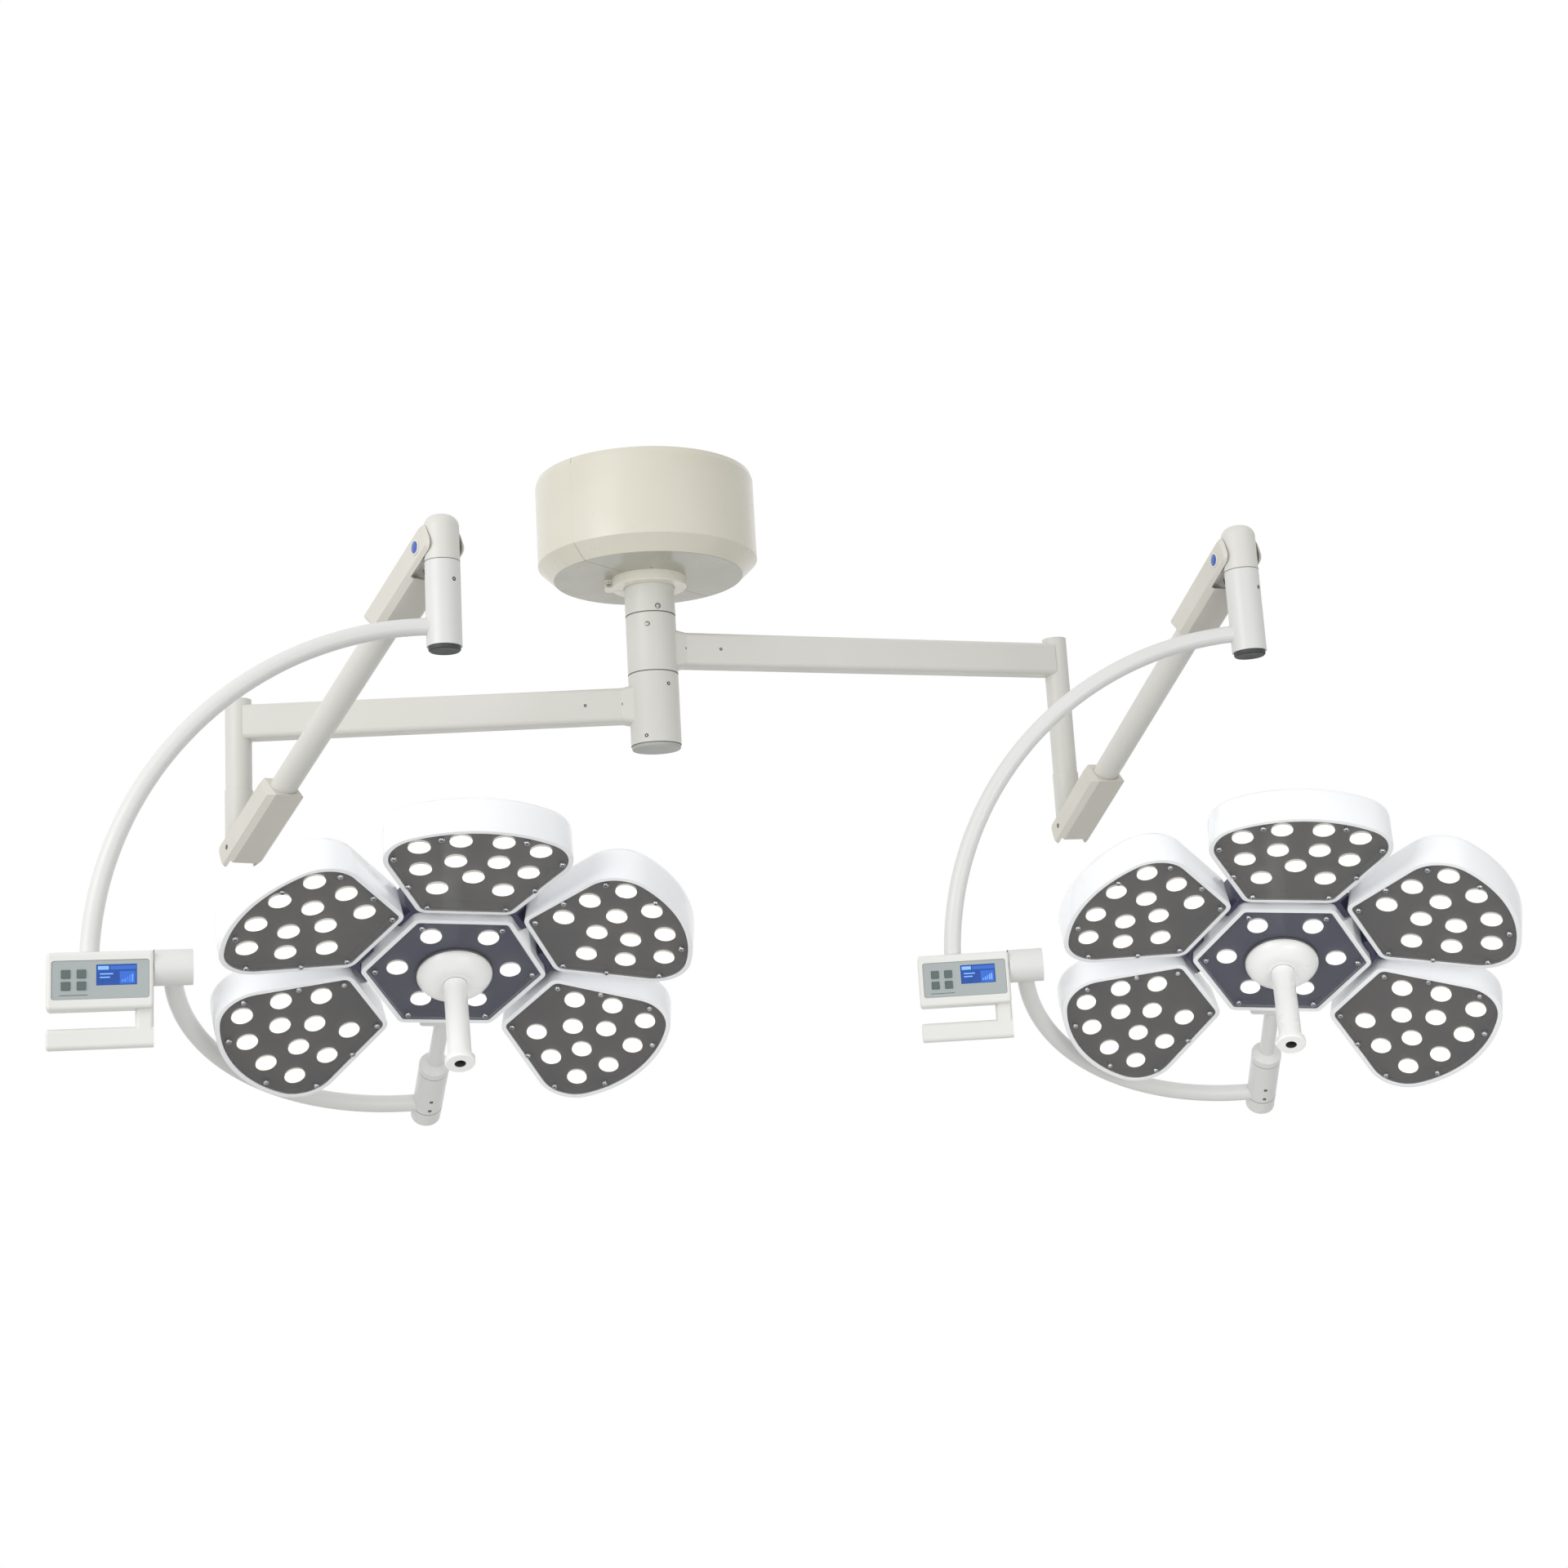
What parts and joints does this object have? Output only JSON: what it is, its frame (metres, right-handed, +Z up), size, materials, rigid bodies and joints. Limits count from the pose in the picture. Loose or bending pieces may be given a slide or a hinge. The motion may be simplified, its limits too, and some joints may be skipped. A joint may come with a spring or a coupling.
{
  "type": "ceiling surgical light",
  "caption": "Ceiling-mounted twin surgical light: round canopy, stacked swivel arms, balanced spring arms, curved yokes and petal LED lamp heads with grip and control box.",
  "frame": {"origin": "centre of the ceiling anchor plate's upper face, on the column's axis", "axes": "+Z up along the column, -Y towards the viewer of the pictured pose, +X to that viewer's right"},
  "size_m": [2.0883, 1.2521, 1.2114],
  "materials": {
    "cream_enamel": "smooth",
    "zinc_steel": "brushed",
    "arm_powder_coat": "satin",
    "cover_plastic": "satin",
    "blue_cap": "gloss",
    "yoke_powder_coat": "satin",
    "dark_plug": "matte",
    "housing_plastic": "satin",
    "panel_film": "satin",
    "display_glass": "gloss",
    "key_rubber": "matte",
    "navy_enamel": "satin",
    "petal_gloss": "gloss",
    "smoked_acrylic": "gloss",
    "led_lens": "gloss",
    "handle_plastic": "satin"
  },
  "bodies": {
    "ceiling_mount": {"ceiling_flange": "zinc_steel", "fixed_column": "arm_powder_coat", "column_screws": "zinc_steel", "canopy_shell": "cream_enamel", "canopy_collar": "cream_enamel", "column_end_cap": "dark_plug"},
    "right_arm": {"right_extension_arm": "arm_powder_coat"},
    "right_knuckle": {"right_knuckle": "arm_powder_coat"},
    "right_spring_arm": {"right_spring_arm_tube": "arm_powder_coat", "right_lower_cover": "cover_plastic", "right_upper_cover": "cover_plastic", "right_pivot_caps": "blue_cap", "right_balance_spring": "zinc_steel"},
    "right_tie_rod": {"right_tie_rod": "zinc_steel"},
    "right_head_block": {"right_head_block": "arm_powder_coat"},
    "right_upper_yoke": {"right_upper_yoke": "yoke_powder_coat", "right_stem_plug": "dark_plug", "right_control_housing": "housing_plastic", "right_control_panel": "panel_film", "right_display": "display_glass"},
    "right_button_1": {"right_button_1": "key_rubber"},
    "right_button_2": {"right_button_2": "key_rubber"},
    "right_button_3": {"right_button_3": "key_rubber"},
    "right_button_4": {"right_button_4": "key_rubber"},
    "right_lower_yoke": {"right_lower_yoke": "yoke_powder_coat"},
    "right_head": {"right_head_carrier": "navy_enamel", "right_center_housing": "petal_gloss", "right_center_window": "smoked_acrylic", "right_petal_housings": "petal_gloss", "right_petal_windows": "smoked_acrylic", "right_led_lenses": "led_lens", "right_handle_base": "handle_plastic"},
    "right_handle": {"right_sterile_handle": "handle_plastic"},
    "left_arm": {"left_extension_arm": "arm_powder_coat"},
    "left_knuckle": {"left_knuckle": "arm_powder_coat"},
    "left_spring_arm": {"left_spring_arm_tube": "arm_powder_coat", "left_lower_cover": "cover_plastic", "left_upper_cover": "cover_plastic", "left_pivot_caps": "blue_cap", "left_balance_spring": "zinc_steel"},
    "left_tie_rod": {"left_tie_rod": "zinc_steel"},
    "left_head_block": {"left_head_block": "arm_powder_coat"},
    "left_upper_yoke": {"left_upper_yoke": "yoke_powder_coat", "left_stem_plug": "dark_plug", "left_control_housing": "housing_plastic", "left_control_panel": "panel_film", "left_display": "display_glass"},
    "left_button_1": {"left_button_1": "key_rubber"},
    "left_button_2": {"left_button_2": "key_rubber"},
    "left_button_3": {"left_button_3": "key_rubber"},
    "left_button_4": {"left_button_4": "key_rubber"},
    "left_lower_yoke": {"left_lower_yoke": "yoke_powder_coat"},
    "left_head": {"left_head_carrier": "navy_enamel", "left_center_housing": "petal_gloss", "left_center_window": "smoked_acrylic", "left_petal_housings": "petal_gloss", "left_petal_windows": "smoked_acrylic", "left_led_lenses": "led_lens", "left_handle_base": "handle_plastic"},
    "left_handle": {"left_sterile_handle": "handle_plastic"}
  },
  "joints": [
    {"name": "right_arm_swivel", "type": "hinge", "parent": "ceiling_mount", "child": "right_arm", "pos_m": [0, 0, -0.3125], "axis": [0, 0, 1], "range_deg": [-12, 140]},
    {"name": "right_knuckle_swivel", "type": "hinge", "parent": "right_arm", "child": "right_knuckle", "pos_m": [0.76873, 0.27071, -0.64], "axis": [0, 0, 1], "range_deg": [-12, 110]},
    {"name": "right_spring_pitch", "type": "hinge", "parent": "right_knuckle", "child": "right_spring_arm", "pos_m": [0.77424, 0.24941, -0.65], "axis": [-0.9681, -0.2504, 0], "range_deg": [-65, 20]},
    {"name": "right_head_level", "type": "hinge", "parent": "right_spring_arm", "child": "right_head_block", "pos_m": [0.95685, -0.45669, -0.34641], "axis": [-0.9681, -0.2504, 0], "range_deg": [-20, 65]},
    {"name": "right_tie_rod_turn", "type": "hinge", "parent": "right_knuckle", "child": "right_tie_rod", "pos_m": [0.77424, 0.24941, -0.665], "axis": [-0.9681, -0.2504, 0], "range_deg": [-65, 20]},
    {"name": "right_yoke_swivel", "type": "hinge", "parent": "right_head_block", "child": "right_upper_yoke", "pos_m": [0.96235, -0.47799, -0.36641], "axis": [0, 0, 1], "range_deg": [-50, 180]},
    {"name": "right_yoke_hinge", "type": "hinge", "parent": "right_upper_yoke", "child": "right_lower_yoke", "pos_m": [0.56889, -0.45737, -0.96641], "axis": [-0.9986, 0.0523, 0], "range_deg": [-120, 100]},
    {"name": "right_head_tilt", "type": "hinge", "parent": "right_lower_yoke", "child": "right_head", "pos_m": [0.97454, -0.24549, -1.13931], "axis": [0.042, 0.8017, -0.5962], "range_deg": [-90, 90]},
    {"name": "right_handle_turn", "type": "hinge", "parent": "right_head", "child": "right_handle", "pos_m": [0.95626, -0.50439, -1.00234], "axis": [-0.1354, -0.5867, -0.7984], "range_deg": [-60, 60]},
    {"name": "right_button_1_press", "type": "slide", "parent": "right_upper_yoke", "child": "right_button_1", "axis": [0.0523, 0.9986, 0], "range_m": [0, 0.0012], "stiffness_N_per_m": 400, "springref_m": -0.002},
    {"name": "right_button_2_press", "type": "slide", "parent": "right_upper_yoke", "child": "right_button_2", "axis": [0.0523, 0.9986, 0], "range_m": [0, 0.0012], "stiffness_N_per_m": 400, "springref_m": -0.002},
    {"name": "right_button_3_press", "type": "slide", "parent": "right_upper_yoke", "child": "right_button_3", "axis": [0.0523, 0.9986, 0], "range_m": [0, 0.0012], "stiffness_N_per_m": 400, "springref_m": -0.002},
    {"name": "right_button_4_press", "type": "slide", "parent": "right_upper_yoke", "child": "right_button_4", "axis": [0.0523, 0.9986, 0], "range_m": [0, 0.0012], "stiffness_N_per_m": 400, "springref_m": -0.002},
    {"name": "left_arm_swivel", "type": "hinge", "parent": "ceiling_mount", "child": "left_arm", "pos_m": [0, 0, -0.4325], "axis": [0, 0, 1], "range_deg": [-140, 12]},
    {"name": "left_knuckle_swivel", "type": "hinge", "parent": "left_arm", "child": "left_knuckle", "pos_m": [-0.73928, -0.0504, -0.64], "axis": [0, 0, 1], "range_deg": [-110, 12]},
    {"name": "left_spring_pitch", "type": "hinge", "parent": "left_knuckle", "child": "left_spring_arm", "pos_m": [-0.72547, -0.06752, -0.65], "axis": [-0.7782, -0.628, 0], "range_deg": [-65, 20]},
    {"name": "left_head_level", "type": "hinge", "parent": "left_spring_arm", "child": "left_head_block", "pos_m": [-0.27958, -0.62011, -0.30369], "axis": [-0.7782, -0.628, 0], "range_deg": [-20, 65]},
    {"name": "left_tie_rod_turn", "type": "hinge", "parent": "left_knuckle", "child": "left_tie_rod", "pos_m": [-0.72547, -0.06752, -0.665], "axis": [-0.7782, -0.628, 0], "range_deg": [-65, 20]},
    {"name": "left_yoke_swivel", "type": "hinge", "parent": "left_head_block", "child": "left_upper_yoke", "pos_m": [-0.26577, -0.63723, -0.32369], "axis": [0, 0, 1], "range_deg": [-50, 180]},
    {"name": "left_yoke_hinge", "type": "hinge", "parent": "left_upper_yoke", "child": "left_lower_yoke", "pos_m": [-0.63831, -0.7655, -0.92369], "axis": [-0.9455, -0.3256, 0], "range_deg": [-120, 100]},
    {"name": "left_head_tilt", "type": "hinge", "parent": "left_lower_yoke", "child": "left_head", "pos_m": [-0.34441, -0.40884, -1.08417], "axis": [-0.2712, 0.7875, -0.5534], "range_deg": [-90, 90]},
    {"name": "left_handle_turn", "type": "hinge", "parent": "left_head", "child": "left_handle", "pos_m": [-0.26027, -0.66163, -0.9611], "axis": [0.1221, -0.5421, -0.8314], "range_deg": [-60, 60]},
    {"name": "left_button_1_press", "type": "slide", "parent": "left_upper_yoke", "child": "left_button_1", "axis": [-0.3256, 0.9455, 0], "range_m": [0, 0.0012], "stiffness_N_per_m": 400, "springref_m": -0.002},
    {"name": "left_button_2_press", "type": "slide", "parent": "left_upper_yoke", "child": "left_button_2", "axis": [-0.3256, 0.9455, 0], "range_m": [0, 0.0012], "stiffness_N_per_m": 400, "springref_m": -0.002},
    {"name": "left_button_3_press", "type": "slide", "parent": "left_upper_yoke", "child": "left_button_3", "axis": [-0.3256, 0.9455, 0], "range_m": [0, 0.0012], "stiffness_N_per_m": 400, "springref_m": -0.002},
    {"name": "left_button_4_press", "type": "slide", "parent": "left_upper_yoke", "child": "left_button_4", "axis": [-0.3256, 0.9455, 0], "range_m": [0, 0.0012], "stiffness_N_per_m": 400, "springref_m": -0.002}
  ],
  "couplings": [
    {"joint": "right_head_level", "follows": "right_spring_pitch", "ratio": -1},
    {"joint": "right_tie_rod_turn", "follows": "right_spring_pitch", "ratio": 1},
    {"joint": "left_head_level", "follows": "left_spring_pitch", "ratio": -1},
    {"joint": "left_tie_rod_turn", "follows": "left_spring_pitch", "ratio": 1}
  ]
}
